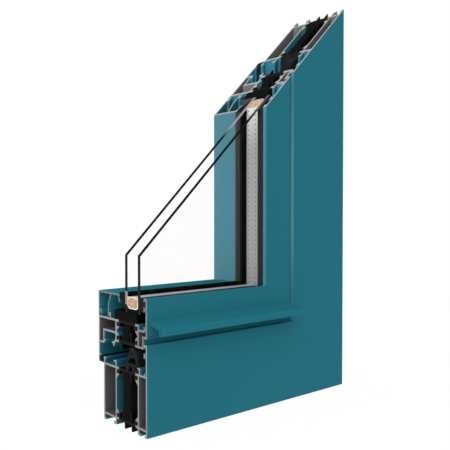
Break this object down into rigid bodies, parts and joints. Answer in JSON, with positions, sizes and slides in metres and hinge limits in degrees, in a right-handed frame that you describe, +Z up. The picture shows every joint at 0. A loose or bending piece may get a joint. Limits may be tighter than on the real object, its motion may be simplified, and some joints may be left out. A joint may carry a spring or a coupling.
{
  "type": "aluminium window corner sample",
  "caption": "Cut-away corner sample of a thermally broken aluminium window: mitred frame and sash rails with strips, seals, insulating glass, glazing bead and drip bar.",
  "frame": {"origin": "centre of the overall box, at the underside of the frame's feet", "axes": "+Z up, +Y from the outside towards the room, +X along the bottom rail towards the mitred corner"},
  "size_m": [0.255, 0.0964, 0.407],
  "materials": {
    "coated_aluminium": "satin powder coat",
    "mill_aluminium": "mill",
    "polyamide": "matt",
    "insulation_foam": "matt, fine cells",
    "rubber_seal": "satin",
    "glass": "clear, dark cut edges",
    "spacer": "satin, perforated",
    "desiccant": "matt granules",
    "edge_sealant": "matt"
  },
  "bodies": {
    "root": {"bottom_bead_seal": "rubber_seal", "bottom_desiccant_core": "desiccant", "bottom_edge_sealant": "edge_sealant", "bottom_face_seal": "rubber_seal", "bottom_frame_inner_shell": "coated_aluminium", "bottom_frame_insert": "insulation_foam", "bottom_frame_outer_shell": "coated_aluminium", "bottom_frame_rebate_strip": "polyamide", "bottom_frame_wall_strip": "polyamide", "bottom_glazing_bead": "coated_aluminium", "bottom_middle_seal": "rubber_seal", "bottom_overlap_seal": "rubber_seal", "bottom_rebate_filler": "insulation_foam", "bottom_sash_glazing_strip": "polyamide", "bottom_sash_inner_shell": "coated_aluminium", "bottom_sash_insert": "insulation_foam", "bottom_sash_nose_strip": "polyamide", "bottom_sash_outer_shell": "coated_aluminium", "bottom_spacer_bar": "spacer", "drip_bar": "coated_aluminium", "frame_inner_cleat": "mill_aluminium", "frame_outer_cleat": "mill_aluminium", "inner_pane": "glass", "outer_pane": "glass", "sash_cleat": "mill_aluminium", "side_bead_seal": "rubber_seal", "side_desiccant_core": "desiccant", "side_edge_sealant": "edge_sealant", "side_face_seal": "rubber_seal", "side_frame_inner_shell": "coated_aluminium", "side_frame_insert": "insulation_foam", "side_frame_outer_shell": "coated_aluminium", "side_frame_rebate_strip": "polyamide", "side_frame_wall_strip": "polyamide", "side_glazing_bead": "coated_aluminium", "side_middle_seal": "rubber_seal", "side_overlap_seal": "rubber_seal", "side_rebate_filler": "insulation_foam", "side_sash_glazing_strip": "polyamide", "side_sash_inner_shell": "coated_aluminium", "side_sash_insert": "insulation_foam", "side_sash_nose_strip": "polyamide", "side_sash_outer_shell": "coated_aluminium", "side_spacer_bar": "spacer"}
  },
  "joints": []
}
